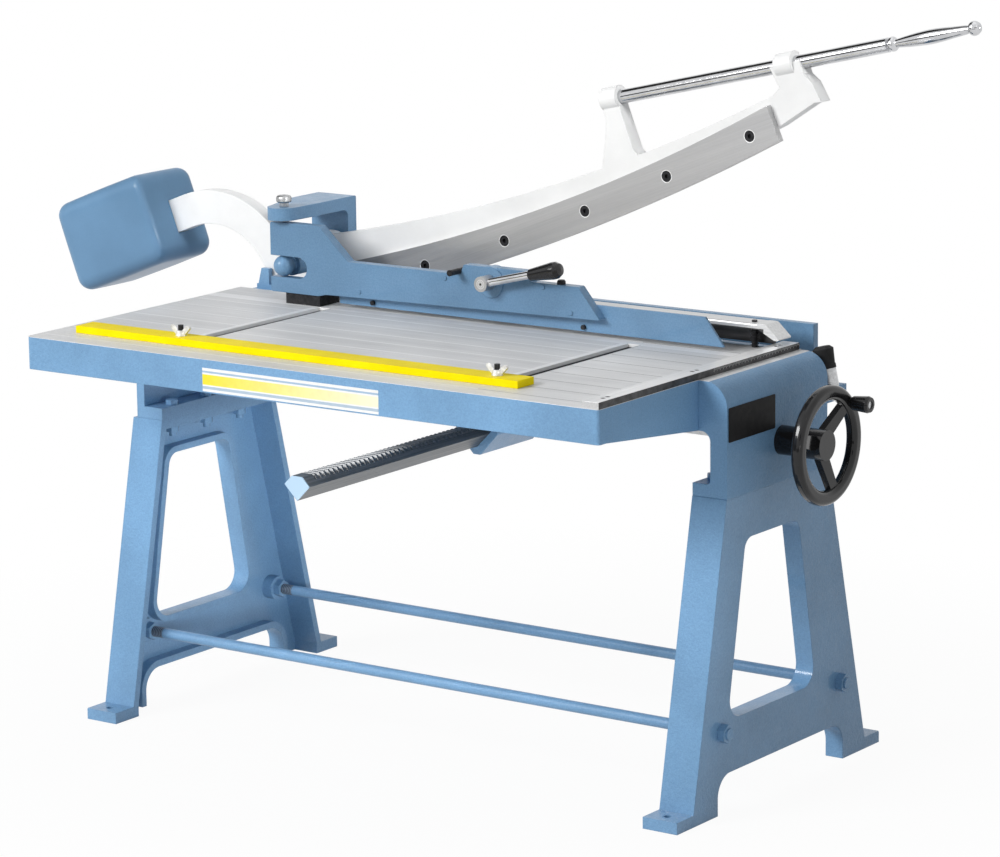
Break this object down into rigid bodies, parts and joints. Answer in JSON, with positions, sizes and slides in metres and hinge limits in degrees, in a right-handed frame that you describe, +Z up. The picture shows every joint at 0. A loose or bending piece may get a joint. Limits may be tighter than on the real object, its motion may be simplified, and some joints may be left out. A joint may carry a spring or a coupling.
{
  "type": "guillotine sheet cutter",
  "caption": "Floor-standing hand-lever guillotine cutter with counterweighted curved blade arm, hold-down bar, table with front gauge, and rack-driven back gauge on cast legs.",
  "frame": {"origin": "centre of the four floor anchor holes, on the floor", "axes": "+X towards the handwheel, +Y from the table's front edge to the back gauge, +Z up"},
  "size_m": [2.0262, 0.925, 1.3479],
  "materials": {
    "blue_paint": "gloss, fine hammer speckle",
    "white_paint": "satin gloss",
    "blade_steel": "ground",
    "black_steel": "black oxide, satin",
    "chrome": "polished",
    "black_plastic": "gloss",
    "rubber": "matt",
    "bronze": "turned",
    "yellow_paint": "satin"
  },
  "bodies": {
    "stand": {"bed_table": "blue_paint", "left_end_wall": "blue_paint", "right_end_bracket": "blue_paint", "left_leg": "blue_paint", "right_leg": "blue_paint", "front_tie_rod": "blue_paint", "rear_tie_rod": "blue_paint", "tie_rod_nuts": "blue_paint", "leg_bolts": "blue_paint", "lower_blade": "blade_steel", "lower_blade_screws": "black_steel", "scale_rail": "blade_steel", "rail_screws": "black_steel", "blank_plate": "black_steel", "stop_buffer": "rubber", "buffer_stem": "chrome", "pivot_bracket": "blue_paint", "pivot_bracket_bolts": "black_steel", "pivot_pin": "blue_paint", "pivot_nut": "black_steel", "thrust_washer": "blade_steel", "pivot_spacer": "blade_steel", "hold_down_carrier": "blue_paint", "carrier_block": "black_steel", "carrier_screws": "black_steel", "guard_plate": "blue_paint", "guard_screws": "black_steel", "lever_stops": "black_steel", "lift_pins": "chrome", "lift_springs": "blade_steel", "rack_guide": "blue_paint", "rack_guide_bolts": "black_steel", "shaft_bush": "black_steel"},
    "blade_arm_group": {"blade_arm": "white_paint", "upper_blade": "blade_steel", "blade_screws": "black_steel", "pivot_bush": "bronze", "counterweight": "blue_paint", "counterweight_bolt": "blue_paint", "handle_bar": "chrome", "handle_grip": "chrome", "ear_screws": "black_steel"},
    "adjusting_screw_group": {"adjusting_screw": "blade_steel"},
    "presser_group": {"presser_bar": "chrome"},
    "lever_group": {"eccentric_shaft": "blade_steel", "clamp_lever": "chrome", "lever_knob": "black_plastic"},
    "back_gauge_group": {"rack_bar": "blade_steel", "gauge_bracket": "blue_paint", "gauge_beam": "blue_paint", "gauge_bolts": "black_steel"},
    "handwheel_group": {"drive_shaft": "blade_steel", "pinion": "blade_steel", "handwheel": "black_plastic", "wheel_spindle": "blade_steel"},
    "wheel_grip_group": {"wheel_grip": "black_plastic"},
    "front_gauge_group": {"front_gauge_bar": "yellow_paint", "t_bolts": "blade_steel"},
    "left_wing_nut_group": {"left_wing_nut": "chrome"},
    "right_wing_nut_group": {"right_wing_nut": "chrome"}
  },
  "joints": [
    {"name": "blade_swing", "type": "hinge", "parent": "stand", "child": "blade_arm_group", "pos_m": [-0.472, 0.185, 0.826], "axis": [0, 1, 0], "range_deg": [0, 20.8]},
    {"name": "lever_turn", "type": "hinge", "parent": "stand", "child": "lever_group", "pos_m": [0.015, 0.017, 0.84], "axis": [0, -1, 0], "range_deg": [0, 140]},
    {"name": "presser_slide", "type": "slide", "parent": "stand", "child": "presser_group", "axis": [0, 0, 1], "range_m": [-0.0056, 0.0001], "deforming": ["lift_springs"]},
    {"name": "back_gauge_slide", "type": "slide", "parent": "stand", "child": "back_gauge_group", "axis": [0, 1, 0], "range_m": [-0.005, 0.48]},
    {"name": "handwheel_turn", "type": "hinge", "parent": "stand", "child": "handwheel_group", "pos_m": [0.751, -0.003, 0.627], "axis": [1, 0, 0], "range_deg": [-10, 862]},
    {"name": "wheel_grip_spin", "type": "hinge", "parent": "handwheel_group", "child": "wheel_grip_group", "pos_m": [0.78, 0.06205, 0.69205], "axis": [1, 0, 0], "continuous": true},
    {"name": "front_gauge_slide", "type": "slide", "parent": "stand", "child": "front_gauge_group", "axis": [0, 1, 0], "range_m": [0, 0.34]},
    {"name": "left_wing_nut_turn", "type": "hinge", "parent": "front_gauge_group", "child": "left_wing_nut_group", "pos_m": [-0.368, -0.384, 0.775], "axis": [0, 0, 1], "range_deg": [0, 180]},
    {"name": "right_wing_nut_turn", "type": "hinge", "parent": "front_gauge_group", "child": "right_wing_nut_group", "pos_m": [0.329, -0.384, 0.775], "axis": [0, 0, 1], "range_deg": [0, 180]},
    {"name": "adjusting_screw_turn", "type": "hinge", "parent": "stand", "child": "adjusting_screw_group", "pos_m": [-0.469, 0.047, 0.945], "axis": [0, 0, 1], "range_deg": [-180, 180]}
  ],
  "couplings": [
    {"joint": "presser_slide", "follows": "lever_turn", "m_per_rad": -0.0022509},
    {"joint": "handwheel_turn", "follows": "back_gauge_slide", "rad_per_m": 31.25}
  ]
}
